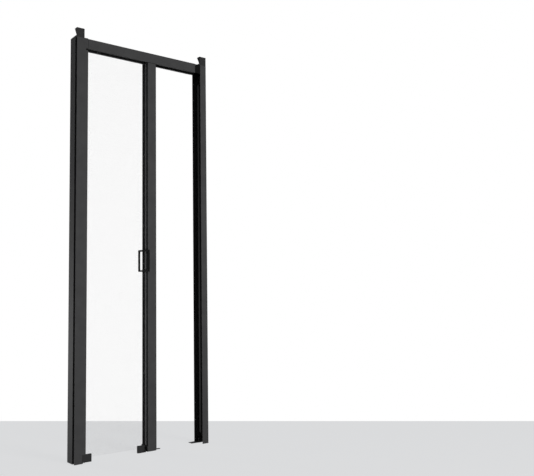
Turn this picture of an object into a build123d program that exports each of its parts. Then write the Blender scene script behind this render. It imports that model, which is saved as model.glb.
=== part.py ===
from build123d import *
import os

os.makedirs("parts", exist_ok=True)

# Retractable screen door, half drawn. X runs along the opening from the housing to the catch post,
# Y = 0 is the wall that the posts are fixed to, -Y is the side that faces the viewer, Z = 0 is the floor.

# Driving dimensions of the door
FRAME_HEIGHT = 2150.0
FRAME_WIDTH = 846.0
POST_DEPTH = 72.0
WALL = 1.6
CAP_PLATE = 2.0
FIT = 0.1
MOVING_GAP = 5.0
BAR_LEFT = 438.0

# Channels for the caps' screws, extruded with the posts
CHANNEL_RADIUS = 3.3
CHANNEL_BORE = 1.7
CHANNEL_SLIT = 1.4
CHANNEL_SINK = 0.3
CAP_HOLE = 2.1
HEAD_ROOM = 3.6

# Housing that holds the rolled screen
HOUSING_WIDTH = 66.0
HOUSING_RADIUS = 2.5
GROOVE_DEPTH = 14.0
GROOVE_END = 20.0
SNAP_GAP = 0.3
SNAP_LENGTH = 12.0
SNAP_BEAD = 0.7
MOUTH_WIDTH = 12.0
CORNER_NOTCH_WIDTH = 14.0
CORNER_NOTCH_HEIGHT = 8.5

# Pile seals and the undercut slots that hold them
BRUSH_BASE = 1.6
PILE_WIDTH = 2.0
SLOT_HOOK = 0.8
MOUTH_BRUSH = 6.0
MOUTH_PILE_GAP = 0.6
RAIL_BRUSH = 4.0
RAIL_PILE_GAP = 3.0

# Screen and its roller
SCREEN_PLANE = -48.0
SCREEN_THICKNESS = 0.4
SCREEN_BOTTOM = 22.0
SCREEN_RISE = 14.0
SCREEN_COLUMNS = 6
SCREEN_ROWS = 12
SCREEN_WEB = 3.0
ROLLER_X = 34.0
TUBE_RADIUS = 12.0
TUBE_WALL = 1.0
KEYWAY_RADIUS = 2.0
KEYWAY_MOUTH = 1.6
ROLL_RADIUS = 13.2
ROLL_GAP = 0.3
ROLLER_END_GAP = 3.0
PIVOT_RADIUS = 5.0
PIVOT_CLEARANCE = 0.05
PIVOT_CHAMFER = 1.0
PIVOT_SEAT = 14.0
PLUG_FLANGE = 3.0
PLUG_LENGTH = 24.0

# Top rail
RAIL_DEPTH = 48.0
RAIL_HEIGHT = 52.0
RAIL_SLOT = 34.0
RAIL_END_LENGTH = 39.0
END_INSET = 0.6
END_WALL = 2.0
TONGUE_LENGTH = 30.0
TONGUE_HEIGHT = 22.0

# Pull bar
BAR_WIDTH = 53.0
BAR_DEPTH = 56.0
BAR_BOTTOM = 9.0
BAR_TOP_GAP = 2.0
BAR_FRONT_RADIUS = 2.5
BAR_BACK_RADIUS = 2.5
FRONT_RECESS = 5.0
BACK_CHANNEL = 28.0
CLAMP_WIDTH = 14.0
CLAMP_DEPTH = 8.0
CLAMP_RADIUS = 1.5
CLAMP_SLOT = 1.4
CLAMP_GRIP = 4.4
CLAMP_BEAD = 1.6

# Nose of the bar and the magnet strips
NOSE_LENGTH = 9.5
NOSE_WIDTH = 18.0
NOSE_RADIUS = 1.0
NOSE_FLANGE = 3.0
MAGNET_THICKNESS = 2.5
MAGNET_WIDTH = 12.0
MAGNET_LIP = 2.0
MAGNET_END = 60.0

# Top shoe that runs in the rail
SHOE_LENGTH = 40.0
SHOE_INSET = 6.0
NECK_THICKNESS = 4.0
HEAD_WIDTH = 40.0
HEAD_HEIGHT = 14.0
HEAD_RADIUS = 6.0
HEAD_CHAMFER = 1.5
HEAD_CLEARANCE = 1.0
SHOE_PLUG = 30.0

# Bottom shoe with its nose and its guide tongue
BAR_FOOT_REACH = 52.0
BAR_FOOT_WIDTH = 12.0
BAR_FOOT_RADIUS = 2.0
BAR_FOOT_BOTTOM = 1.0
BAR_FOOT_TOP = 37.0
BAR_FOOT_FLANGE = 5.0
GUIDE_REACH = 40.0
GUIDE_WIDTH = 10.0
GUIDE_THICKNESS = 3.0

# Handles
HANDLE_HEIGHT = 118.0
HANDLE_CENTRE = 1008.0
HANDLE_WIDTH = 12.0
HANDLE_ARM = 9.0
GRIP_THICKNESS = 3.6
FRONT_REACH = 16.0
BACK_REACH = 23.0
HANDLE_SLIT = 2.0
HANDLE_RADIUS = 5.0
HANDLE_INNER_RADIUS = 2.5
HANDLE_EDGE = 0.8

# Catch post
CATCH_WIDTH = 42.0
CATCH_RADIUS = 2.5
CATCH_BACK_EXTRA = 3.0
CATCH_RIB = 4.4
CARRIER_WIDTH = 14.0
CATCH_MAGNET_FACE = 2.0

# Moulded lugs on top of both posts
LUG_WIDTH = 44.0
LUG_HEIGHT = 48.0
LUG_SETBACK = 2.0
LUG_PLATE = 4.0
LUG_RIB = 3.0
LUG_ROOT = 6.0
LUG_HEAD = 24.0
LUG_FOOT_FRONT = 9.0
LUG_FOOT_BACK = 6.0
LUG_HOLE_RADIUS = 2.75
LUG_SINK = 1.5
LUG_HOLE_UP = 24.0

# Feet of the posts
FOOT_LEFT_INSET = 22.0
FOOT_REACH = 33.0
FOOT_RADIUS = 2.0
FOOT_THICKNESS = 10.0
FOOT_BOTTOM = 5.0
FOOT_TOP = 43.0
FOOT_ARM = 6.0
SPIGOT = 25.0
SPIGOT_WALL = 3.0
FLOOR_PLATE = 2.0
FLOOR_PLATE_REACH = 46.0
FLOOR_PLATE_WIDTH = 30.0

# Places that follow from the sizes above
FRONT = -POST_DEPTH
POST_TOP = FRAME_HEIGHT - CAP_PLATE
RAIL_TOP = POST_TOP
RAIL_BOTTOM = RAIL_TOP - RAIL_HEIGHT
RAIL_FRONT = FRONT
RAIL_BACK = FRONT + RAIL_DEPTH
CATCH_LEFT = FRAME_WIDTH - CATCH_WIDTH
RAIL_RIGHT_END = CATCH_LEFT - RAIL_END_LENGTH
SCREEN_TOP = RAIL_BOTTOM + SCREEN_RISE
MOUTH_TOP = RAIL_BOTTOM - CORNER_NOTCH_HEIGHT
SLOT_HEIGHT = BRUSH_BASE + FIT + SLOT_HOOK
MOUTH_LIP = MOUTH_BRUSH + (FIT + SLOT_HOOK) * 2
RAIL_LIP = RAIL_BRUSH + (FIT + SLOT_HOOK) * 2
MOUTH_FRONT = SCREEN_PLANE - MOUTH_WIDTH / 2
MOUTH_BACK = SCREEN_PLANE + MOUTH_WIDTH / 2
BAR_RIGHT = BAR_LEFT + BAR_WIDTH
BAR_BACK = FRONT + BAR_DEPTH
BAR_TOP = RAIL_BOTTOM - BAR_TOP_GAP
CLAMP_FRONT = SCREEN_PLANE - CLAMP_WIDTH / 2
CLAMP_BACK = SCREEN_PLANE + CLAMP_WIDTH / 2
ROLLER_Y = SCREEN_PLANE + SCREEN_THICKNESS / 2 + ROLL_GAP + ROLL_RADIUS
CHANNEL_INSET = WALL + CHANNEL_RADIUS - CHANNEL_SINK
BIG = FRAME_HEIGHT


def save(solid, node):
    solid.label = node
    export_step(solid, f"parts/{node}.step")


def rect(x0, x1, y0, y1):
    return Pos((x0 + x1) / 2, (y0 + y1) / 2) * Rectangle(x1 - x0, y1 - y0)


def box(x0, x1, y0, y1, z0, z1):
    return upright(rect(x0, x1, y0, y1), z0, z1)


def upright(face, z0, z1):
    return extrude(Pos(0, 0, z0) * face, amount=z1 - z0, dir=(0, 0, 1))


def along_rail(face, x0, x1):
    """Runs a Y-Z outline along the rail from x0 to x1."""
    return Pos(x0, 0, 0) * extrude(Plane.YZ * face, amount=x1 - x0, dir=(1, 0, 0))


def wall_path(points, thickness=WALL):
    """A wall of one thickness laid on the left-hand side of a path."""
    return make_face(offset(Polyline(*points), thickness, side=Side.LEFT, kind=Kind.INTERSECTION).edges())


def rounded(face, corners):
    """Rounds the corners of a face; corners lists (x, y, radius)."""
    for x, y, radius in corners:
        face = fillet(face.vertices().sort_by_distance((x, y, 0))[0], radius)
    return face


def screw_channel(x, y, way):
    """C-shaped channel for a cap's screw, slit towards the angle given in degrees."""
    ring = Circle(CHANNEL_RADIUS) - Circle(CHANNEL_BORE)
    slit = Pos(CHANNEL_RADIUS, 0) * Rectangle(CHANNEL_RADIUS * 2, CHANNEL_SLIT)
    return Pos(x, y) * Rot(0, 0, way) * (ring - slit)


def channel_rooms(channels):
    """Room for the screw channels of a post: each one's circle and the corner behind it."""
    corner = rect(0, CHANNEL_INSET, 0, CHANNEL_INSET)
    rooms = Sketch()
    for x, y, way in channels:
        rooms += Pos(x, y) * (Circle(CHANNEL_RADIUS + FIT) + Rot(0, 0, way + 135) * corner)
    return rooms


def pile_slot(width):
    """Undercut slot for a pile strip's base, standing on y = 0 and open towards +y."""
    outer = rect(-width / 2 - FIT - SLOT_HOOK, width / 2 + FIT + SLOT_HOOK, 0, SLOT_HEIGHT)
    pocket = rect(-width / 2 - FIT, width / 2 + FIT, 0, BRUSH_BASE + FIT)
    mouth = rect(-width / 2 + SLOT_HOOK, width / 2 - SLOT_HOOK, 0, SLOT_HEIGHT * 2)
    return outer - pocket - mouth


def pile_strip(width, reach):
    """Base and pile of a seal, standing on y = 0, with its pile tips at reach."""
    return rect(-width / 2, width / 2, 0, BRUSH_BASE) + rect(-PILE_WIDTH / 2, PILE_WIDTH / 2, 0, reach)


# Housing post
CHANNEL_RIGHT = HOUSING_WIDTH - CHANNEL_INSET
HOUSING_CHANNELS = [(CHANNEL_INSET, -CHANNEL_INSET, -45), (CHANNEL_RIGHT, -CHANNEL_INSET, -135)]
COVER_CHANNEL = (CHANNEL_RIGHT, FRONT + CHANNEL_INSET, 135)
MOUTH_X = HOUSING_WIDTH - MOUTH_LIP / 2
LEG_X = GROOVE_DEPTH + WALL + SNAP_GAP
LEG_END = FRONT + WALL + SNAP_LENGTH
BEAD_Y = LEG_END - SNAP_BEAD * 2


def housing_shell():
    """Extruded back half of the housing: back wall, side with its deep groove, rear lip of the mouth."""
    path = [
        (HOUSING_WIDTH - MOUTH_LIP, MOUTH_BACK),
        (HOUSING_WIDTH, MOUTH_BACK),
        (HOUSING_WIDTH, 0),
        (0, 0),
        (0, FRONT + GROOVE_END),
        (GROOVE_DEPTH, FRONT + GROOVE_END),
        (GROOVE_DEPTH, FRONT + WALL + SNAP_GAP),
    ]
    face = wall_path(path) + Pos(MOUTH_X, MOUTH_BACK) * Rot(0, 0, 180) * pile_slot(MOUTH_BRUSH)
    for channel in HOUSING_CHANNELS:
        face += screw_channel(*channel)
    face -= Pos(LEG_X, BEAD_Y) * Circle(SNAP_BEAD + FIT)
    return upright(face, 0, POST_TOP)


def housing_cover():
    """Snap-on front cover with a rounded mouth corner, cut away for the foot and below the rail."""
    path = [
        (0, FRONT),
        (HOUSING_WIDTH, FRONT),
        (HOUSING_WIDTH, MOUTH_FRONT),
        (HOUSING_WIDTH - MOUTH_LIP, MOUTH_FRONT),
    ]
    corners = [
        (HOUSING_WIDTH, FRONT, HOUSING_RADIUS),
        (HOUSING_WIDTH - WALL, FRONT + WALL, HOUSING_RADIUS - WALL),
    ]
    face = rounded(wall_path(path), corners)
    face += Pos(MOUTH_X, MOUTH_FRONT) * pile_slot(MOUTH_BRUSH)
    face += screw_channel(*COVER_CHANNEL)
    face += rect(LEG_X, LEG_X + WALL, FRONT, LEG_END)
    face += Pos(LEG_X, BEAD_Y) * Circle(SNAP_BEAD)
    notch = box(
        HOUSING_WIDTH - FOOT_LEFT_INSET,
        HOUSING_WIDTH + WALL,
        FRONT - WALL,
        FRONT + FOOT_THICKNESS,
        -WALL,
        FOOT_TOP,
    )
    corner = box(
        HOUSING_WIDTH - CORNER_NOTCH_WIDTH,
        HOUSING_WIDTH + WALL,
        FRONT - WALL,
        FRONT + FOOT_THICKNESS,
        MOUTH_TOP,
        RAIL_BOTTOM,
    )
    lip = box(MOUTH_X - MOUTH_LIP / 2, HOUSING_WIDTH, FRONT, SCREEN_PLANE, MOUTH_TOP, RAIL_BOTTOM)
    return upright(face, 0, POST_TOP) - notch - corner - lip


def lug(x0, channels):
    """Moulded lug on a top cap: a screw plate, a ledge across its head and two gussets on long feet."""
    front = FRONT + LUG_SETBACK
    root = FRAME_HEIGHT
    head = root + LUG_HEIGHT
    side = Polygon(
        (front, root),
        (0, root),
        (0, root + LUG_FOOT_BACK),
        (front + LUG_ROOT, root + LUG_FOOT_FRONT),
        (front + LUG_HEAD, head - LUG_RIB),
        (front + LUG_HEAD, head),
        (front, head),
        align=None,
    )
    body = along_rail(side, x0, x0 + LUG_WIDTH)
    hollow = box(
        x0 + LUG_RIB,
        x0 + LUG_WIDTH - LUG_RIB,
        front + LUG_PLATE,
        WALL,
        root,
        head - LUG_RIB,
    )
    for x, y, _ in channels:
        hollow += upright(Pos(x, y) * Circle(HEAD_ROOM), root, head)
    place = Pos(x0 + LUG_WIDTH / 2, front + LUG_PLATE / 2, root + LUG_HOLE_UP) * Rot(90, 0, 0)
    hole = Cylinder(LUG_HOLE_RADIUS, LUG_PLATE * 2)
    sink = Cone(LUG_HOLE_RADIUS, LUG_HOLE_RADIUS + LUG_SINK, LUG_SINK)
    return body - hollow - place * (hole + Pos(0, 0, (LUG_PLATE - LUG_SINK) / 2) * sink)


def pivot(end, direction):
    """Round pin that the roller turns on, chamfered at its tip; direction is 1 for the lower one."""
    seat = SCREEN_BOTTOM if direction > 0 else SCREEN_TOP
    tip = seat + direction * (PIVOT_SEAT - PLUG_FLANGE)
    pin = Pos(ROLLER_X, ROLLER_Y, (end + tip) / 2) * Cylinder(PIVOT_RADIUS, abs(tip - end))
    rim = pin.edges().filter_by(GeomType.CIRCLE).sort_by(Axis.Z)[-1 if direction > 0 else 0]
    return chamfer(rim, PIVOT_CHAMFER)


def spigot(outline, open_side, channels, z0, z1):
    """Thin wall on a cap, open on one side, that fits in a post and clears the post's screw channels."""
    left, right, front, back = outline
    inner_left = left - SPIGOT_WALL if open_side == "left" else left + SPIGOT_WALL
    inner_front = front - SPIGOT_WALL if open_side == "front" else front + SPIGOT_WALL
    inner = rect(inner_left, right - SPIGOT_WALL, inner_front, back - SPIGOT_WALL)
    face = rect(left, right, front, back) - inner - channel_rooms(channels)
    return upright(face, z0, z1)


def cap_plate(left, right, radius, channels):
    """Plate of a top cap with the post's outline and a hole over each screw channel."""
    face = rounded(rect(left, right, FRONT, 0), [(right, FRONT, radius)])
    for x, y, _ in channels:
        face -= Pos(x, y) * Circle(CAP_HOLE)
    return upright(face, POST_TOP, FRAME_HEIGHT)


def housing_top_cap():
    """Top cap of the housing with the roller's pivot, a locating wall and the lug."""
    plate = cap_plate(0, HOUSING_WIDTH, HOUSING_RADIUS, HOUSING_CHANNELS + [COVER_CHANNEL])
    outline = (WALL + FIT, HOUSING_WIDTH - WALL - FIT, MOUTH_BACK + WALL + FIT, -WALL - FIT)
    ring = spigot(outline, "front", HOUSING_CHANNELS, POST_TOP - SPIGOT, POST_TOP)
    return plate + pivot(POST_TOP, -1) + ring + lug(0, HOUSING_CHANNELS)


def housing_foot():
    """Bottom block of the housing: floor plug, roller pivot and the nose in the cover's cut corner."""
    left = WALL + FIT
    right = HOUSING_WIDTH - WALL - FIT
    front = MOUTH_BACK + WALL + FIT
    back = -WALL - FIT
    base = upright(rect(left, right, front, back) - channel_rooms(HOUSING_CHANNELS), 0, CAP_PLATE)
    ring = spigot((left, right, front, back), "front", HOUSING_CHANNELS, 0, SPIGOT)
    web_top = SCREEN_BOTTOM - ROLLER_END_GAP - PLUG_FLANGE
    web = box(ROLLER_X - PIVOT_RADIUS, ROLLER_X + PIVOT_RADIUS, ROLLER_Y, back, 0, web_top)
    nose_left = HOUSING_WIDTH - FOOT_LEFT_INSET + FIT
    nose_right = HOUSING_WIDTH + FOOT_REACH
    nose_back = FRONT + FOOT_THICKNESS
    tip = [(nose_right, FRONT, FOOT_RADIUS), (nose_right, nose_back, FOOT_RADIUS)]
    nose = upright(rounded(rect(nose_left, nose_right, FRONT, nose_back), tip), FOOT_BOTTOM, FOOT_TOP - FIT)
    arm = box(nose_left, nose_left + FOOT_ARM, FRONT + WALL + FIT, front, 0, FOOT_BOTTOM)
    return base + ring + pivot(0, 1) + web + nose + arm


# Roller
KEYWAY_Y = TUBE_RADIUS - KEYWAY_RADIUS


def roller_tube():
    """Extruded tube with an undercut keyway that holds the edge of the cloth."""
    keyway = Pos(0, KEYWAY_Y) * Circle(KEYWAY_RADIUS + TUBE_WALL)
    face = Circle(TUBE_RADIUS) - Circle(TUBE_RADIUS - TUBE_WALL) + (keyway & Circle(TUBE_RADIUS))
    face -= Pos(0, KEYWAY_Y) * Circle(KEYWAY_RADIUS)
    face -= rect(-KEYWAY_MOUTH / 2, KEYWAY_MOUTH / 2, KEYWAY_Y, TUBE_RADIUS * 2)
    return upright(Pos(ROLLER_X, ROLLER_Y) * face, SCREEN_BOTTOM, SCREEN_TOP)


def rolled_screen():
    """The part of the screen that is still wound on the roller."""
    ring = Circle(ROLL_RADIUS) - Circle(TUBE_RADIUS)
    return upright(Pos(ROLLER_X, ROLLER_Y) * ring, SCREEN_BOTTOM, SCREEN_TOP)


def roller_plug(end, direction):
    """Moulded plug in one end of the roller tube, bored for its pivot and notched for the keyway."""
    bore = Circle(PIVOT_RADIUS + PIVOT_CLEARANCE)
    notch = Pos(0, KEYWAY_Y) * Circle(KEYWAY_RADIUS + TUBE_WALL + FIT)
    shank = Circle(TUBE_RADIUS - TUBE_WALL) - notch - bore
    flange = Circle(TUBE_RADIUS) - bore
    far = end + direction * PLUG_LENGTH
    rim = end - direction * PLUG_FLANGE
    plug = upright(shank, min(end, far), max(end, far)) + upright(flange, min(end, rim), max(end, rim))
    return Pos(ROLLER_X, ROLLER_Y, 0) * plug


def mouth_brush(side):
    """Pile seal in the mouth; side is -1 on the cover's lip and 1 on the shell's lip."""
    strip = pile_strip(MOUTH_BRUSH, MOUTH_WIDTH / 2 - MOUTH_PILE_GAP)
    place = Pos(MOUTH_X, SCREEN_PLANE + side * MOUTH_WIDTH / 2) * Rot(0, 0, 0 if side < 0 else 180)
    return upright(place * strip, FOOT_TOP, MOUTH_TOP)


def screen_mesh():
    """The drawn part of the screen, from the roll to the clamp, as a grid that stands for its weave."""
    cell_x = (BAR_LEFT - HOUSING_WIDTH) / SCREEN_COLUMNS
    cell_z = (SCREEN_TOP - SCREEN_BOTTOM) / SCREEN_ROWS
    middle = Pos((HOUSING_WIDTH + BAR_LEFT) / 2, (SCREEN_BOTTOM + SCREEN_TOP) / 2)
    gap = Rectangle(cell_x - SCREEN_WEB, cell_z - SCREEN_WEB)
    gaps = [middle * place * gap for place in GridLocations(cell_x, cell_z, SCREEN_COLUMNS, SCREEN_ROWS)]
    cloth = rect(ROLLER_X, BAR_LEFT + CLAMP_GRIP - FIT, SCREEN_BOTTOM, SCREEN_TOP) - gaps
    return Pos(0, SCREEN_PLANE + SCREEN_THICKNESS / 2, 0) * extrude(Plane.XZ * cloth, SCREEN_THICKNESS)


# Top rail
def rail_channel(inset, thickness):
    """Y-Z outline of the rail's channel, open downwards between its two upturned lips."""
    front = RAIL_FRONT + inset
    back = RAIL_BACK - inset
    top = RAIL_TOP - inset
    bottom = RAIL_BOTTOM + inset
    path = [
        (SCREEN_PLANE + RAIL_SLOT / 2, RAIL_BOTTOM + RAIL_LIP),
        (SCREEN_PLANE + RAIL_SLOT / 2, bottom),
        (back, bottom),
        (back, top),
        (front, top),
        (front, bottom),
        (SCREEN_PLANE - RAIL_SLOT / 2, bottom),
        (SCREEN_PLANE - RAIL_SLOT / 2, RAIL_BOTTOM + RAIL_LIP),
    ]
    return wall_path(path, thickness)


def on_rail_lip(face, side):
    """Places a slot or a strip on the inner edge of one of the rail's lips."""
    place = Pos(SCREEN_PLANE + side * RAIL_SLOT / 2, RAIL_BOTTOM + RAIL_LIP / 2)
    return place * Rot(0, 0, 90 * side) * face


def top_rail():
    """Extruded channel that opens downwards, with an undercut slot for a seal along each lip."""
    face = rail_channel(0, WALL)
    for side in (-1, 1):
        face += on_rail_lip(pile_slot(RAIL_BRUSH), side)
    return along_rail(face, HOUSING_WIDTH, RAIL_RIGHT_END)


def rail_brush(side):
    """Pile seal along one lip of the rail; its tips stay clear of the shoe's neck."""
    strip = pile_strip(RAIL_BRUSH, RAIL_SLOT / 2 - RAIL_PILE_GAP)
    return along_rail(on_rail_lip(strip, side), HOUSING_WIDTH, RAIL_RIGHT_END)


def rail_joiner():
    """Plug in the rail's left end that screws to the housing, slotted for the screen."""
    inset = WALL + FIT
    block = rect(RAIL_FRONT + inset, RAIL_BACK - inset, RAIL_BOTTOM + inset, RAIL_TOP - inset)
    slot_half = RAIL_SLOT / 2 + WALL + FIT
    slot_top = SCREEN_TOP + ROLLER_END_GAP
    slot = rect(SCREEN_PLANE - slot_half, SCREEN_PLANE + slot_half, RAIL_BOTTOM, slot_top)
    return along_rail(block - slot, HOUSING_WIDTH, HOUSING_WIDTH + TONGUE_LENGTH)


def rail_end():
    """Black moulding that closes the rail's right end and sits in the catch post's channel."""
    right = FRAME_WIDTH - WALL - CATCH_RIB - FIT
    channel = along_rail(rail_channel(END_INSET, END_WALL), RAIL_RIGHT_END, right)
    end_face = rect(
        RAIL_FRONT + END_INSET,
        RAIL_BACK - END_INSET,
        RAIL_BOTTOM + END_INSET,
        RAIL_TOP - END_INSET,
    )
    stop = along_rail(end_face, right - END_WALL, right)
    inset = WALL + FIT
    tongue_top = RAIL_TOP - inset
    tongue_face = rect(RAIL_FRONT + inset, RAIL_BACK - inset, tongue_top - TONGUE_HEIGHT, tongue_top)
    tongue = along_rail(tongue_face, RAIL_RIGHT_END - TONGUE_LENGTH, RAIL_RIGHT_END + END_WALL)
    in_post = box(CATCH_LEFT, FRAME_WIDTH, RAIL_FRONT, RAIL_FRONT + inset, RAIL_BOTTOM, RAIL_TOP)
    return channel + stop + tongue - in_post


# Catch post
CATCH_CHANNELS = [(FRAME_WIDTH - CHANNEL_INSET, -CHANNEL_INSET, -135)]


def catch_post():
    """Extruded channel open towards the door, with two hooked ribs that hold the magnet's carrier."""
    back_left = CATCH_LEFT - CATCH_BACK_EXTRA
    path = [(CATCH_LEFT, FRONT), (FRAME_WIDTH, FRONT), (FRAME_WIDTH, 0), (back_left, 0)]
    corners = [
        (FRAME_WIDTH, FRONT, CATCH_RADIUS),
        (FRAME_WIDTH - WALL, FRONT + WALL, CATCH_RADIUS - WALL),
    ]
    face = rounded(wall_path(path), corners)
    rib_left = FRAME_WIDTH - WALL - CATCH_RIB
    for side in (-1, 1):
        edge = SCREEN_PLANE + side * CARRIER_WIDTH / 2
        outer = edge + side * WALL
        face += rect(rib_left, FRAME_WIDTH - WALL, min(edge, outer), max(edge, outer))
    for channel in CATCH_CHANNELS:
        face += screw_channel(*channel)
    return upright(face, 0, POST_TOP)


def magnet_seat(face_x, tip_x):
    """Room for a magnet strip between two lips; the strip's seat is at face_x."""
    half = MAGNET_WIDTH / 2 + FIT
    return rect(min(face_x, tip_x), max(face_x, tip_x), SCREEN_PLANE - half, SCREEN_PLANE + half)


def catch_carrier():
    """Extruded carrier that stands on the post's web and holds the magnet strip between two lips."""
    back = FRAME_WIDTH - WALL
    seat = CATCH_LEFT + CATCH_MAGNET_FACE + MAGNET_THICKNESS
    half = CARRIER_WIDTH / 2 - FIT
    face = rect(seat - MAGNET_LIP, back, SCREEN_PLANE - half, SCREEN_PLANE + half)
    face -= magnet_seat(seat, seat - MAGNET_LIP)
    face -= rect(seat + WALL, back, SCREEN_PLANE - half + WALL, SCREEN_PLANE + half - WALL)
    return upright(face, MAGNET_END, RAIL_BOTTOM - MAGNET_END)


def catch_magnet():
    face = CATCH_LEFT + CATCH_MAGNET_FACE
    half = MAGNET_WIDTH / 2
    low = MAGNET_END
    high = RAIL_BOTTOM - MAGNET_END
    return box(face, face + MAGNET_THICKNESS, SCREEN_PLANE - half, SCREEN_PLANE + half, low, high)


def catch_top_cap():
    """Top cap of the catch post with a locating ring behind the rail's end and the lug."""
    plate = cap_plate(CATCH_LEFT, FRAME_WIDTH, CATCH_RADIUS, CATCH_CHANNELS)
    outline = (CATCH_LEFT + WALL, FRAME_WIDTH - WALL - FIT, RAIL_BACK + FIT, -WALL - FIT)
    ring = spigot(outline, "left", CATCH_CHANNELS, POST_TOP - SPIGOT, POST_TOP)
    lug_left = FRAME_WIDTH - LUG_WIDTH
    front = FRONT + LUG_SETBACK
    bridge = box(lug_left, FRAME_WIDTH - CATCH_RADIUS, front, front + LUG_ROOT, POST_TOP, FRAME_HEIGHT)
    return plate + ring + bridge + lug(lug_left, CATCH_CHANNELS)


def catch_foot():
    """Bottom plug of the catch post with the thin floor plate that reaches into the opening."""
    right = FRAME_WIDTH - WALL - FIT
    back = -WALL - FIT
    front = SCREEN_PLANE + NOSE_WIDTH / 2 + MOVING_GAP
    ring = spigot((CATCH_LEFT + WALL, right, front, back), "left", CATCH_CHANNELS, 0, SPIGOT)
    plate = rect(CATCH_LEFT - FLOOR_PLATE_REACH, right, back - FLOOR_PLATE_WIDTH, back)
    return ring + upright(plate - channel_rooms(CATCH_CHANNELS), 0, FLOOR_PLATE)


# Pull bar
def bar_core(play):
    """Outline of the bar without its two flanges, made smaller all round by play."""
    outline = Polygon(
        (BAR_LEFT + FRONT_RECESS, FRONT),
        (BAR_RIGHT, FRONT),
        (BAR_RIGHT, BAR_BACK),
        (BAR_LEFT + BACK_CHANNEL, BAR_BACK),
        (BAR_LEFT + BACK_CHANNEL, CLAMP_BACK),
        (BAR_LEFT + CLAMP_DEPTH, CLAMP_BACK),
        (BAR_LEFT + CLAMP_DEPTH, CLAMP_FRONT),
        (BAR_LEFT + FRONT_RECESS, CLAMP_FRONT),
        align=None,
    )
    corners = [(BAR_RIGHT, FRONT, BAR_FRONT_RADIUS), (BAR_RIGHT, BAR_BACK, BAR_BACK_RADIUS)]
    outline = rounded(outline, corners)
    return offset(outline, -play, kind=Kind.INTERSECTION) if play else outline


def nose_root(play):
    """Flange of the nose inside the bar and its neck through the bar's wall, with play all round."""
    half = NOSE_WIDTH / 2 + play
    inner = BAR_RIGHT - WALL - FIT
    flange_half = half + NOSE_FLANGE
    flange = rect(inner - WALL - play, inner + play, SCREEN_PLANE - flange_half, SCREEN_PLANE + flange_half)
    return flange + rect(inner - WALL - play, BAR_RIGHT, SCREEN_PLANE - half, SCREEN_PLANE + half)


def pull_bar():
    """Hollow extrusion with a recess, the clamp's seat and a deep channel on its screen side."""
    face = bar_core(0) - bar_core(WALL)
    face += rect(BAR_LEFT, BAR_LEFT + FRONT_RECESS + WALL, FRONT, FRONT + WALL)
    face += rect(BAR_LEFT, BAR_LEFT + BACK_CHANNEL + WALL, BAR_BACK - WALL, BAR_BACK)
    face -= nose_root(FIT)
    return upright(face, BAR_BOTTOM, BAR_TOP)


def bar_plug(z0, z1):
    """Plug that fills the end of the bar's hollow, cleared for the flange of the nose."""
    return upright(bar_core(WALL + FIT) - nose_root(FIT), z0, z1)


def screen_clamp():
    """Extrusion that grips the welded edge of the screen in a keyhole slot."""
    strip = rect(BAR_LEFT, BAR_LEFT + CLAMP_DEPTH, CLAMP_FRONT, CLAMP_BACK)
    corners = [(BAR_LEFT, CLAMP_FRONT, CLAMP_RADIUS), (BAR_LEFT, CLAMP_BACK, CLAMP_RADIUS)]
    half = CLAMP_SLOT / 2
    slot = rect(BAR_LEFT - WALL, BAR_LEFT + CLAMP_GRIP, SCREEN_PLANE - half, SCREEN_PLANE + half)
    face = rounded(strip, corners) - slot - Pos(BAR_LEFT + CLAMP_GRIP, SCREEN_PLANE) * Circle(CLAMP_BEAD)
    return upright(face, BAR_FOOT_TOP, BAR_TOP)


def bar_nose():
    """Hollow nose that slides into the bar's catch side and holds the magnet between two lips."""
    half = NOSE_WIDTH / 2
    seat = BAR_RIGHT + NOSE_LENGTH
    tip = seat + MAGNET_LIP
    outline = rect(BAR_RIGHT, tip, SCREEN_PLANE - half, SCREEN_PLANE + half)
    corners = [(tip, SCREEN_PLANE - half, NOSE_RADIUS), (tip, SCREEN_PLANE + half, NOSE_RADIUS)]
    face = rounded(outline, corners) + nose_root(0)
    face -= rect(0, seat - WALL, SCREEN_PLANE - half + WALL, SCREEN_PLANE + half - WALL)
    face -= magnet_seat(seat, tip)
    return upright(face, BAR_BOTTOM, BAR_TOP)


def bar_magnet():
    left = BAR_RIGHT + NOSE_LENGTH
    half = MAGNET_WIDTH / 2
    low = MAGNET_END
    high = RAIL_BOTTOM - MAGNET_END
    return box(left, left + MAGNET_THICKNESS, SCREEN_PLANE - half, SCREEN_PLANE + half, low, high)


def bar_top_shoe():
    """Plug in the bar's top end with a thin neck and the rounded head that glides above the rail's lips."""
    left = BAR_LEFT + CLAMP_DEPTH + WALL + FIT
    right = BAR_LEFT + SHOE_INSET + SHOE_LENGTH
    half_neck = NECK_THICKNESS / 2
    head_bottom = RAIL_BOTTOM + RAIL_LIP + HEAD_CLEARANCE
    neck = box(left, right, SCREEN_PLANE - half_neck, SCREEN_PLANE + half_neck, BAR_TOP, head_bottom)
    head_face = RectangleRounded(right - left, HEAD_WIDTH, HEAD_RADIUS)
    head_place = Pos((left + right) / 2, SCREEN_PLANE)
    head = upright(head_place * head_face, head_bottom, head_bottom + HEAD_HEIGHT)
    head = chamfer(head.edges().group_by(Axis.Z)[-1], HEAD_CHAMFER)
    return bar_plug(BAR_TOP - SHOE_PLUG, BAR_TOP) + neck + head


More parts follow.
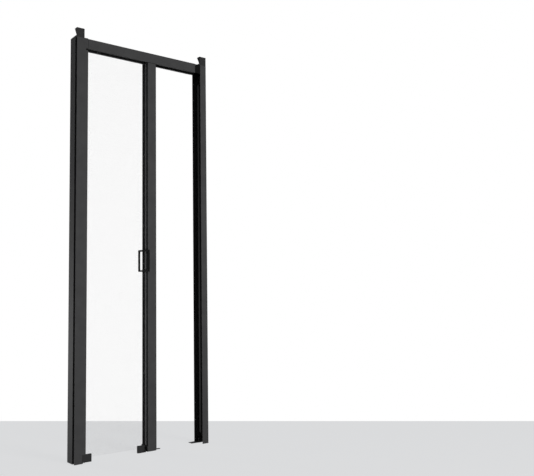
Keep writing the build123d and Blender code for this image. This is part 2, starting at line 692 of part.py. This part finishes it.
def bar_foot():
    """Bottom shoe of the bar with a flange and a nose on the screen side, a guide tongue on the other."""
    corners = [(BAR_RIGHT, FRONT, BAR_FRONT_RADIUS), (BAR_RIGHT, BAR_BACK, BAR_BACK_RADIUS)]
    left = BAR_LEFT - BAR_FOOT_FLANGE
    plate_bottom = BAR_BOTTOM - CAP_PLATE
    plate_face = rounded(rect(left, BAR_RIGHT, FRONT, BAR_BACK), corners)
    plate = upright(plate_face, plate_bottom, BAR_BOTTOM)
    flange = box(left, BAR_LEFT, FRONT, BAR_BACK, plate_bottom, BAR_FOOT_TOP)
    half = BAR_FOOT_WIDTH / 2
    tip = BAR_LEFT - BAR_FOOT_REACH
    corners = [(tip, SCREEN_PLANE - half, BAR_FOOT_RADIUS), (tip, SCREEN_PLANE + half, BAR_FOOT_RADIUS)]
    nose_face = rounded(rect(tip, BAR_LEFT - WALL, SCREEN_PLANE - half, SCREEN_PLANE + half), corners)
    nose = upright(nose_face, BAR_FOOT_BOTTOM, BAR_FOOT_TOP)
    slot = box(
        tip - WALL,
        BAR_LEFT,
        SCREEN_PLANE - CLAMP_SLOT,
        SCREEN_PLANE + CLAMP_SLOT,
        SCREEN_BOTTOM - ROLLER_END_GAP,
        BAR_FOOT_TOP,
    )
    guide_face = Pos(BAR_RIGHT, SCREEN_PLANE) * SlotOverall(GUIDE_REACH * 2, GUIDE_WIDTH)
    guide = upright(guide_face, BAR_BOTTOM - GUIDE_THICKNESS, BAR_BOTTOM)
    inside = box(0, BAR_LEFT + WALL, FRONT, 0, 0, BIG)
    return bar_plug(BAR_BOTTOM, BAR_BOTTOM + SHOE_PLUG) + plate + flange + nose + (guide - inside) - slot


def handle(side):
    """Moulded bracket handle on the bar's screen side, open to the screen; side is -1 for the front."""
    low = HANDLE_CENTRE - HANDLE_HEIGHT / 2
    high = HANDLE_CENTRE + HANDLE_HEIGHT / 2
    root = SCREEN_PLANE + side * HANDLE_SLIT / 2
    tip = FRONT - FRONT_REACH if side < 0 else BAR_BACK + BACK_REACH
    grip = tip - side * GRIP_THICKNESS
    inner_low = low + HANDLE_ARM
    inner_high = high - HANDLE_ARM
    outline = rect(min(root, tip), max(root, tip), low, high)
    outline = rounded(outline, [(tip, low, HANDLE_RADIUS), (tip, high, HANDLE_RADIUS)])
    hole = rect(min(root, grip), max(root, grip), inner_low, inner_high)
    hole = rounded(hole, [(grip, inner_low, HANDLE_INNER_RADIUS), (grip, inner_high, HANDLE_INNER_RADIUS)])
    bracket = along_rail(outline - hole, BAR_LEFT - HANDLE_WIDTH, BAR_LEFT)
    outer_rim = bracket.edges().group_by(Axis.X)[0]
    return fillet(outer_rim, HANDLE_EDGE)


# Each node of the door, in the order in which it is put together
NODES = {
    "housing_shell": housing_shell(),
    "housing_cover": housing_cover(),
    "housing_top_cap": housing_top_cap(),
    "housing_foot": housing_foot(),
    "roller_tube": roller_tube(),
    "rolled_screen": rolled_screen(),
    "roller_bottom_plug": roller_plug(SCREEN_BOTTOM, 1),
    "roller_top_plug": roller_plug(SCREEN_TOP, -1),
    "mouth_brush_front": mouth_brush(-1),
    "mouth_brush_back": mouth_brush(1),
    "screen_mesh": screen_mesh(),
    "top_rail": top_rail(),
    "rail_brush_front": rail_brush(-1),
    "rail_brush_back": rail_brush(1),
    "rail_joiner": rail_joiner(),
    "rail_end": rail_end(),
    "catch_post": catch_post(),
    "catch_carrier": catch_carrier(),
    "catch_magnet": catch_magnet(),
    "catch_top_cap": catch_top_cap(),
    "catch_foot": catch_foot(),
    "pull_bar": pull_bar(),
    "screen_clamp": screen_clamp(),
    "bar_nose": bar_nose(),
    "bar_magnet": bar_magnet(),
    "bar_top_shoe": bar_top_shoe(),
    "bar_foot": bar_foot(),
    "handle_front": handle(-1),
    "handle_back": handle(1),
}
for node, solid in NODES.items():
    save(solid, node)
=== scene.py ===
import math

import bmesh
import bpy
import numpy as np
from mathutils import Matrix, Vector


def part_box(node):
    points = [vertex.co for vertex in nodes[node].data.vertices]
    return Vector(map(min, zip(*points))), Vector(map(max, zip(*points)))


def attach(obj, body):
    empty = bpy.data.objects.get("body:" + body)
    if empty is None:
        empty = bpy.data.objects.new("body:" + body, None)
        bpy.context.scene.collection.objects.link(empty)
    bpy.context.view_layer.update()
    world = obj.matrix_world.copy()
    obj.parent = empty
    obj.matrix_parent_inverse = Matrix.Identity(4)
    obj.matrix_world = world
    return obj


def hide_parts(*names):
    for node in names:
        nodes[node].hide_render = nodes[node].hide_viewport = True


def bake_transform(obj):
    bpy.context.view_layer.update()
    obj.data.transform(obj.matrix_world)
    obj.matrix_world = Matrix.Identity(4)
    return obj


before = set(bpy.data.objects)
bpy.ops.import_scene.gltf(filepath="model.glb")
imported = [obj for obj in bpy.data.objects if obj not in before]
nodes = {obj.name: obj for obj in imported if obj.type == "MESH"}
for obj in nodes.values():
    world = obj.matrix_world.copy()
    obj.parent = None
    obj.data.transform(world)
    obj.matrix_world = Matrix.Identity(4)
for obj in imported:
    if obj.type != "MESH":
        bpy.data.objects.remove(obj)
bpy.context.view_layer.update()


# The housing is two aluminium extrusions: a back shell, and a front cover that snaps on beside the side
# groove. Both are cut to length and powder coated in matt anthracite, which gives their faces a fine, even
# grain and leaves every sharp edge a little soft.
CLOUD_GRAINS = 90
CLOUD_SHARE = 0.45
DARK_BELOW = 0.3
LIGHT_ABOVE = 0.7
SHEEN_SWING = 0.05
RELIEF_STRENGTH = 0.35


def node(tree, kind, **inputs):
    """A shader node with some of its inputs set; an underscore in a name stands for a space."""
    made = tree.nodes.new(kind)
    for name, value in inputs.items():
        made.inputs[name.replace("_", " ")].default_value = value
    return made


def speckle(tree, grain, detail):
    """Noise in the piece's own space, with grain as its size in metres."""
    place = tree.nodes.new("ShaderNodeTexCoord")
    noise = node(tree, "ShaderNodeTexNoise", Scale=1.0 / grain, Detail=detail, Roughness=0.55)
    tree.links.new(place.outputs["Object"], noise.inputs["Vector"])
    return noise


def finish(name, dark, light, rough, grain, relief, metallic=0.0, specular=0.5, edge=0.0004):
    """A dull surface whose colour, roughness and height follow one small grain, with softened edges."""
    skin = bpy.data.materials.new(name)
    skin.use_nodes = True
    tree = skin.node_tree
    shader = tree.nodes["Principled BSDF"]
    shader.inputs["Metallic"].default_value = metallic
    shader.inputs["Specular IOR Level"].default_value = specular
    small = speckle(tree, grain, detail=4.0)
    broad = speckle(tree, grain * CLOUD_GRAINS, detail=2.0)
    blend = node(tree, "ShaderNodeMix", Factor=CLOUD_SHARE)
    tree.links.new(small.outputs["Fac"], blend.inputs["A"])
    tree.links.new(broad.outputs["Fac"], blend.inputs["B"])
    tones = tree.nodes.new("ShaderNodeValToRGB")
    tones.color_ramp.elements[0].position = DARK_BELOW
    tones.color_ramp.elements[0].color = (*dark, 1)
    tones.color_ramp.elements[1].position = LIGHT_ABOVE
    tones.color_ramp.elements[1].color = (*light, 1)
    tree.links.new(blend.outputs["Result"], tones.inputs["Fac"])
    tree.links.new(tones.outputs["Color"], shader.inputs["Base Color"])
    sheen = node(tree, "ShaderNodeMapRange", To_Min=rough - SHEEN_SWING, To_Max=rough + SHEEN_SWING)
    tree.links.new(small.outputs["Fac"], sheen.inputs["Value"])
    tree.links.new(sheen.outputs["Result"], shader.inputs["Roughness"])
    bump = node(tree, "ShaderNodeBump", Strength=RELIEF_STRENGTH, Distance=relief)
    tree.links.new(small.outputs["Fac"], bump.inputs["Height"])
    if edge:
        soft = node(tree, "ShaderNodeBevel", Radius=edge)
        tree.links.new(soft.outputs["Normal"], bump.inputs["Normal"])
    tree.links.new(bump.outputs["Normal"], shader.inputs["Normal"])
    return skin


def dress(skin, *names):
    """Gives some of the CAD nodes a finish in place of their plain one."""
    for name in names:
        nodes[name].data.materials.clear()
        nodes[name].data.materials.append(skin)


anthracite = finish(
    "anthracite_powder_coat",
    dark=(0.036, 0.036, 0.037),
    light=(0.060, 0.060, 0.061),
    rough=0.7,
    grain=0.0007,
    relief=0.00018,
    specular=0.2,
)
dress(anthracite, "housing_shell", "housing_cover")

# The roller is a mill finish aluminium tube on two moulded plugs, with the rest of the cloth wound on it.
# It is held between the housing's cap and foot, out of sight, and shows only through the mouth.
mill = finish(
    "mill_finish_tube",
    dark=(0.52, 0.52, 0.53),
    light=(0.62, 0.62, 0.63),
    rough=0.34,
    grain=0.0009,
    relief=0.00002,
    metallic=1.0,
)
wound_cloth = finish(
    "wound_screen_cloth",
    dark=(0.03, 0.03, 0.03),
    light=(0.07, 0.07, 0.07),
    rough=0.8,
    grain=0.0006,
    relief=0.0001,
)
nylon = finish(
    "black_moulded_nylon",
    dark=(0.021, 0.021, 0.0215),
    light=(0.035, 0.035, 0.0355),
    rough=0.6,
    grain=0.0005,
    relief=0.00012,
    specular=0.1,
)
dress(mill, "roller_tube")
dress(wound_cloth, "rolled_screen")
dress(nylon, "roller_bottom_plug", "roller_top_plug")

# The caps and feet of both posts and the rail's left plug are moulded in black nylon with a fine spark grain.
# They are pressed into the extrusions.
dress(nylon, "housing_top_cap", "housing_foot", "catch_top_cap", "catch_foot", "rail_joiner")

# Black steel screws turned from wire: pan heads hold the caps to the screw channels of the posts, and a
# countersunk screw sits in each lug. Each has a cross recess pressed into its head.
screw_black = finish(
    "blackened_steel",
    dark=(0.018, 0.018, 0.018),
    light=(0.03, 0.03, 0.03),
    rough=0.42,
    grain=0.0003,
    relief=0.00001,
    metallic=1.0,
    edge=0.00015,
)
CAP_SCREWS = [(0.0046, -0.0046), (0.0614, -0.0046), (0.0614, -0.0674), (0.8414, -0.0046)]
CAP_FACE = 2.15
CAP_TURNS = [0.4, 1.1, 0.2, 0.7]
LUG_SCREWS = [(0.022, -0.0699, 2.174), (0.824, -0.0699, 2.174)]
LUG_TURNS = [0.35, 0.85]
PAN = [(0.0032, 0.0), (0.0033, 0.0007), (0.00305, 0.0013), (0.0026, 0.0017), (0.0021, 0.0019)]
COUNTERSUNK = [(0.0022, -0.0085), (0.0026, -0.008), (0.0026, -0.0016), (0.0041, -0.0001), (0.0040, 0.0)]
CROSS_REACH = 0.0017
CROSS_HALF = 0.0004
CROSS_DEPTH = 0.0013
CROSS_TAPER = 0.6
AROUND = 40


def cross(shrink, z):
    """Corners of the cross recess, anticlockwise."""
    reach = CROSS_REACH * shrink
    half = CROSS_HALF * shrink
    arm = [(half, -half), (reach, -half), (reach, half)]
    return [
        (x * math.cos(turn) - y * math.sin(turn), x * math.sin(turn) + y * math.cos(turn), z)
        for turn in (0, math.pi / 2, math.pi, math.pi * 1.5)
        for x, y in arm
    ]


def band(sheet, lower, upper):
    """Quads between two closed rings of the same count."""
    for i in range(len(lower)):
        j = (i + 1) % len(lower)
        sheet.faces.new((lower[i], lower[j], upper[j], upper[i]))


def new_piece(name, mesh, skin):
    """A new object in the scene for a mesh, in one finish."""
    mesh.materials.append(skin)
    made = bpy.data.objects.new(name, mesh)
    bpy.context.scene.collection.objects.link(made)
    return made


def screw(name, profile, spot, tilt, turn):
    """A screw head turned from its profile about its own axis, with a cross recess in its flat top."""
    sheet = bmesh.new()
    rings = []
    for radius, z in profile:
        angles = [math.tau * i / AROUND for i in range(AROUND)]
        rings.append([sheet.verts.new((radius * math.cos(a), radius * math.sin(a), z)) for a in angles])
    for lower, upper in zip(rings, rings[1:]):
        band(sheet, lower, upper)
    sheet.faces.new(list(reversed(rings[0])))
    top = profile[-1][1]
    rim = [sheet.verts.new(corner) for corner in cross(1.0, top)]
    sole = [sheet.verts.new(corner) for corner in cross(CROSS_TAPER, top - CROSS_DEPTH)]
    band(sheet, sole, rim)
    sheet.faces.new(sole)
    edges = []
    for ring in (rings[-1], rim):
        for i in range(len(ring)):
            pair = (ring[i], ring[i - 1])
            edges.append(sheet.edges.get(pair) or sheet.edges.new(pair))
    bmesh.ops.triangle_fill(sheet, edges=edges, use_beauty=True, normal=(0, 0, 1))
    mesh = bpy.data.meshes.new(name)
    sheet.to_mesh(mesh)
    sheet.free()
    mesh.transform(Matrix.Translation(spot) @ Matrix.Rotation(tilt, 4, "X") @ Matrix.Rotation(turn, 4, "Z"))
    made = new_piece(name, mesh, screw_black)
    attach(made, "frame")


for i, (x, y) in enumerate(CAP_SCREWS):
    screw("cap_screw_%d" % (i + 1), PAN, (x, y, CAP_FACE), 0, CAP_TURNS[i])
for i, spot in enumerate(LUG_SCREWS):
    screw("lug_screw_%d" % (i + 1), COUNTERSUNK, spot, math.pi / 2, LUG_TURNS[i])

# The seals are woven backing strips with a dense black polypropylene pile.
# They are pushed into the slots of the mouth and of the rail's lips, so that the screen and the shoe of the
# pull bar run between their tips.
pile = finish(
    "black_pile",
    dark=(0.002, 0.002, 0.002),
    light=(0.009, 0.009, 0.009),
    rough=0.9,
    grain=0.0004,
    relief=0.0002,
    specular=0.04,
    edge=0,
)
BACKING = 0.0016
BARE_END = 0.0008
PILE_WIDE = 0.002
FIBRE = 0.00014
FIBRE_LEAN = 0.0007
FIBRES_PER_METRE = 9000
# Shares of the pile's width, to either side of its middle.
ROOTS_WIDE = 0.4
FIBRES_WIDE = 0.43
FIBRE_SPREAD = 0.06
# Shares of the seal's reach.
ROOTS_TALL = 0.82
FIBRE_START = 0.6
FIBRE_ENDS = (0.9, 1.0)
pile_chance = np.random.default_rng(5)


def block(start, end):
    """Corners and faces of a straight strip between two opposite corners."""
    corners = [[(start, end)[bit][axis] for axis, bit in enumerate(bits)] for bits in np.ndindex(2, 2, 2)]
    return corners, [(0, 1, 3, 2), (4, 6, 7, 5), (0, 4, 5, 1), (2, 3, 7, 6), (0, 2, 6, 4), (1, 5, 7, 3)]


def seal(name, outward):
    """A seal in place of a CAD strip: backing, packed roots and loose tips; outward is their way along y."""
    low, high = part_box(name)
    along = 2 if high.z - low.z > high.x - low.x else 0
    across = 2 - along
    root = low.y if outward > 0 else high.y
    reach = high.y - low.y
    middle = (low[across] + high[across]) / 2

    def put(run, wide, out):
        spot = [0, root + outward * out, 0]
        spot[along] = run
        spot[across] = middle + wide
        return spot

    points, faces = block(
        put(low[along], low[across] - middle, 0),
        put(high[along], high[across] - middle, BACKING),
    )
    corners, sides = block(
        put(low[along], -PILE_WIDE * ROOTS_WIDE, BACKING),
        put(high[along], PILE_WIDE * ROOTS_WIDE, reach * ROOTS_TALL),
    )
    faces += [tuple(8 + corner for corner in side) for side in sides]
    points += corners
    count = int(FIBRES_PER_METRE * (high[along] - low[along]))
    run = pile_chance.uniform(low[along] + BARE_END, high[along] - BARE_END, count)
    wide = pile_chance.uniform(-FIBRES_WIDE, FIBRES_WIDE, count) * PILE_WIDE
    length = reach * pile_chance.uniform(*FIBRE_ENDS, count)
    lean = pile_chance.uniform(-FIBRE_LEAN, FIBRE_LEAN, count)
    spread = wide + pile_chance.uniform(-FIBRE_SPREAD, FIBRE_SPREAD, count) * PILE_WIDE
    start = reach * FIBRE_START
    for i in range(count):
        a, b, c, tip = range(len(points), len(points) + 4)
        points += [
            put(run[i] - FIBRE, wide[i], start),
            put(run[i] + FIBRE, wide[i], start),
            put(run[i], wide[i] + FIBRE, start),
            put(run[i] + lean[i], spread[i], length[i]),
        ]
        faces += [(a, b, tip), (b, c, tip), (c, a, tip)]
    mesh = bpy.data.meshes.new(name + "_pile")
    mesh.from_pydata(points, [], faces)
    made = new_piece(name + "_pile", mesh, pile)
    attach(made, "frame")
    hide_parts(name)


seal("mouth_brush_front", 1)
seal("mouth_brush_back", -1)
seal("rail_brush_front", 1)
seal("rail_brush_back", -1)

# The top rail and the catch post are extrusions with the same powder coat as the housing.
# A black moulding closes the rail's right end. Its near-black tone is partly painted shade for the catch
# post's shadow on that end. A carrier in the post holds a strip of magnet rubber.
magnet_rubber = finish(
    "magnet_rubber",
    dark=(0.006, 0.006, 0.006),
    light=(0.01, 0.01, 0.01),
    rough=0.6,
    grain=0.0008,
    relief=0.00004,
    specular=0.1,
)
# A real black moulding, made darker than black plastic is: on the rail end this near-black is painted shade.
moulding_in_black_and_painted_shade = finish(
    "moulding_in_deep_black_and_painted_shade",
    dark=(0.002, 0.002, 0.002),
    light=(0.005, 0.005, 0.005),
    rough=0.5,
    grain=0.0005,
    relief=0.0001,
    specular=0.03,
)
dress(anthracite, "top_rail", "catch_post", "catch_carrier")
# The rail end's near-black tone is partly painted shade, standing for the catch post's shadow on it.
dress(moulding_in_black_and_painted_shade, "rail_end")
dress(magnet_rubber, "catch_magnet")

# The pull bar is a hollow extrusion with a clamp for the cloth's edge and a nose for the magnet.
# Its end plugs and its two bracket handles are black nylon, and so is the narrow guard on its top end that
# runs behind the rail and covers the gap above the bar's back channel.
grey_coat = finish(
    "grey_powder_coat",
    dark=(0.18, 0.18, 0.182),
    light=(0.24, 0.24, 0.242),
    rough=0.7,
    grain=0.0007,
    relief=0.00018,
    specular=0.2,
)
dress(anthracite, "pull_bar", "bar_nose")
dress(grey_coat, "screen_clamp")
dress(magnet_rubber, "bar_magnet")
dress(nylon, "bar_top_shoe", "bar_foot")
dress(moulding_in_black_and_painted_shade, "handle_front", "handle_back")
GUARD_GAP = 0.0008
GUARD_RISE = 0.005
GUARD_CORNER = 0.0008


def bar_guard():
    """A strip on the back edge of the bar's top end, with the corners of its upper edge cut off."""
    low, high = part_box("pull_bar")
    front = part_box("top_rail")[1].y + GUARD_GAP
    head = high.z + GUARD_RISE
    profile = [
        (front, high.z),
        (high.y, high.z),
        (high.y, head - GUARD_CORNER),
        (high.y - GUARD_CORNER, head),
        (front + GUARD_CORNER, head),
        (front, head - GUARD_CORNER),
    ]
    count = len(profile)
    points = [(x, y, z) for x in (low.x, high.x) for y, z in profile]
    faces = [(i, (i + 1) % count, count + (i + 1) % count, count + i) for i in range(count)]
    faces += [tuple(reversed(range(count))), tuple(range(count, 2 * count))]
    mesh = bpy.data.meshes.new("bar_guard")
    mesh.from_pydata(points, [], faces)
    made = new_piece("bar_guard", mesh, nylon)
    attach(made, "pull_bar")


bar_guard()

# The screen is woven from fine grey coated glass yarn, so thin that light passes round and partly through
# it. Its edge is gripped by the pull bar, and the rest runs off the roll in the housing under a light
# spring pull.
THREAD = 0.0001
PITCH = 0.0018
YARN_ALPHA = 0.26
yarn = finish(
    "coated_glass_yarn",
    dark=(0.12, 0.12, 0.12),
    light=(0.18, 0.18, 0.18),
    rough=0.7,
    grain=0.0012,
    relief=0.00002,
    edge=0,
)
yarn.node_tree.nodes["Principled BSDF"].inputs["Alpha"].default_value = YARN_ALPHA
low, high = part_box("screen_mesh")
plane = (low.y + high.y) / 2
width = high.x - low.x
height = high.z - low.z
half = THREAD / 2
square = [(-half, -half), (half, -half), (half, half), (-half, half)]
weft = [low.z + THREAD + i * PITCH for i in range(int((height - 2 * THREAD) / PITCH) + 1)]
warp = [low.x + THREAD + i * PITCH for i in range(int((width - 2 * THREAD) / PITCH) + 1)]
points = [(x, plane + a, z + b) for z in weft for x in (low.x, high.x) for a, b in square]
points += [(x + a, plane + b, z) for x in warp for z in (low.z, high.z) for a, b in square]
sides = [(0, 1, 5, 4), (1, 2, 6, 5), (2, 3, 7, 6), (3, 0, 4, 7), (3, 2, 1, 0), (4, 5, 6, 7)]
faces = [tuple(8 * k + corner for corner in side) for k in range(len(points) // 8) for side in sides]
mesh = bpy.data.meshes.new("screen_cloth")
mesh.from_pydata(points, [], faces)
mesh.validate()
screen = new_piece("screen_cloth", mesh, yarn)
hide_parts("screen_mesh")
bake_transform(screen)

# The floor is pale grey up to a line behind the door and white beyond it, as in the photograph. It shows
# its own flat tone to the camera and to gloss, stays dark to diffuse light, and takes the door's shadow.
EYE = (-1.5806, -3.0354, 0.8722)
YAW = 0.58906
FLOOR_LINE = 4.42
FLOOR_REACH = 20.0
FLOOR_DROP = 0.0002
FLOOR_GLOW = (0.661, 0.668, 0.678)
FLOOR_SHADE = 0.2
FLOOR_BOUNCE = 0.02


def seen_rays(tree):
    """1 for rays from the camera, from gloss and through clear pieces, 0 for diffuse light."""
    path = tree.nodes.new("ShaderNodeLightPath")
    total = path.outputs["Is Camera Ray"]
    for kind in ("Is Glossy Ray", "Is Transmission Ray"):
        either = tree.nodes.new("ShaderNodeMath")
        either.operation = "MAXIMUM"
        tree.links.new(total, either.inputs[0])
        tree.links.new(path.outputs[kind], either.inputs[1])
        total = either.outputs[0]
    return total


def mixed(tree, factor, none, full):
    """The output of a mix of two shaders: none where the factor is 0, full where it is 1."""
    mix = tree.nodes.new("ShaderNodeMixShader")
    tree.links.new(factor, mix.inputs["Fac"])
    tree.links.new(none, mix.inputs[1])
    tree.links.new(full, mix.inputs[2])
    return mix.outputs[0]


def floor_skin():
    """The floor's flat tones with the door's shadow on them, split at the floor line."""
    skin = bpy.data.materials.new("pale_floor")
    skin.use_nodes = True
    tree = skin.node_tree
    tree.nodes.clear()
    out = tree.nodes.new("ShaderNodeOutputMaterial")
    shade = node(tree, "ShaderNodeBsdfDiffuse", Color=(FLOOR_SHADE, FLOOR_SHADE, FLOOR_SHADE, 1))
    own = node(tree, "ShaderNodeEmission", Color=(*FLOOR_GLOW, 1), Strength=1.0)
    pale = tree.nodes.new("ShaderNodeAddShader")
    tree.links.new(shade.outputs[0], pale.inputs[0])
    tree.links.new(own.outputs[0], pale.inputs[1])
    spot = tree.nodes.new("ShaderNodeNewGeometry")
    away = tree.nodes.new("ShaderNodeVectorMath")
    away.operation = "DOT_PRODUCT"
    away.inputs[1].default_value = (math.sin(YAW), math.cos(YAW), 0)
    tree.links.new(spot.outputs["Position"], away.inputs[0])
    beyond = tree.nodes.new("ShaderNodeMath")
    beyond.operation = "GREATER_THAN"
    beyond.inputs[1].default_value = EYE[0] * math.sin(YAW) + EYE[1] * math.cos(YAW) + FLOOR_LINE
    tree.links.new(away.outputs["Value"], beyond.inputs[0])
    white = node(tree, "ShaderNodeEmission", Color=(1, 1, 1, 1), Strength=1.0)
    ground = mixed(tree, beyond.outputs[0], pale.outputs[0], white.outputs[0])
    dark = node(tree, "ShaderNodeBsdfDiffuse", Color=(FLOOR_BOUNCE, FLOOR_BOUNCE, FLOOR_BOUNCE, 1))
    shown = mixed(tree, seen_rays(tree), dark.outputs[0], ground)
    tree.links.new(shown, out.inputs["Surface"])
    return skin


corners = [(x * FLOOR_REACH, y * FLOOR_REACH, 0) for x, y in ((-1, -1), (1, -1), (1, 1), (-1, 1))]
mesh = bpy.data.meshes.new("floor")
mesh.from_pydata(corners, [], [(0, 1, 2, 3)])
floor = new_piece("floor", mesh, floor_skin())
floor.location.z = -FLOOR_DROP

# The studio is a white surround that adds little light of its own, a large lamp at the right front for the
# front faces, and a low lamp behind the left that grazes the side faces and leaves the grooves dark.
WORLD_FILL = 0.1
world = bpy.data.worlds.new("studio")
bpy.context.scene.world = world
world.use_nodes = True
tree = world.node_tree
tree.nodes.clear()
seen = node(tree, "ShaderNodeBackground", Color=(1, 1, 1, 1), Strength=1.0)
lit = node(tree, "ShaderNodeBackground", Color=(1, 1, 1, 1), Strength=WORLD_FILL)
out = tree.nodes.new("ShaderNodeOutputWorld")
tree.links.new(mixed(tree, seen_rays(tree), lit.outputs[0], seen.outputs[0]), out.inputs["Surface"])


def softbox(name, spot, target, size, power, spread):
    """A rectangular area lamp aimed at a point, with its size in metres and its spread in degrees."""
    lamp = bpy.data.lights.new(name, "AREA")
    lamp.spread = math.radians(spread)
    lamp.shape = "RECTANGLE"
    lamp.size, lamp.size_y = size
    lamp.energy = power
    made = bpy.data.objects.new(name, lamp)
    bpy.context.scene.collection.objects.link(made)
    made.location = spot
    made.visible_camera = False
    x, y, z = [t - s for t, s in zip(target, spot)]
    made.rotation_euler = (math.atan2(math.hypot(x, y), -z), 0, math.atan2(y, x) - math.pi / 2)


softbox("front_light", (3.2, -8.5, 1.6), target=(0.2, 0, 1.1), size=(4.0, 2.4), power=70, spread=60)
softbox("low_left_light", (-1.5, 2.75, 0.25), target=(0, 0, 0.7), size=(0.6, 0.5), power=6.6, spread=70)

# The camera is at the place that the door's straight edges give.
# Its view axis meets the photograph at AXIS, in pixels from the top left corner, and the shift moves that
# point to the middle, because the photograph is cropped.
PITCH_UP = 0.07722
FOCAL = 669.488
AXIS = (142.096, 234.270)
PHOTO_WIDTH = 534
PHOTO_HEIGHT = 476
FILM = 36.0
view = bpy.data.cameras.new("camera")
view.sensor_fit = "HORIZONTAL"
view.sensor_width = FILM
view.lens = FOCAL * FILM / PHOTO_WIDTH
view.shift_x = (PHOTO_WIDTH / 2 - AXIS[0]) / PHOTO_WIDTH
view.shift_y = (AXIS[1] - PHOTO_HEIGHT / 2) / PHOTO_WIDTH
view.clip_end = 60
camera = bpy.data.objects.new("camera", view)
bpy.context.scene.collection.objects.link(camera)
camera.location = EYE
camera.rotation_euler = (math.pi / 2 + PITCH_UP, 0, -YAW)
bpy.context.scene.camera = camera
bpy.context.scene.view_settings.view_transform = "Standard"
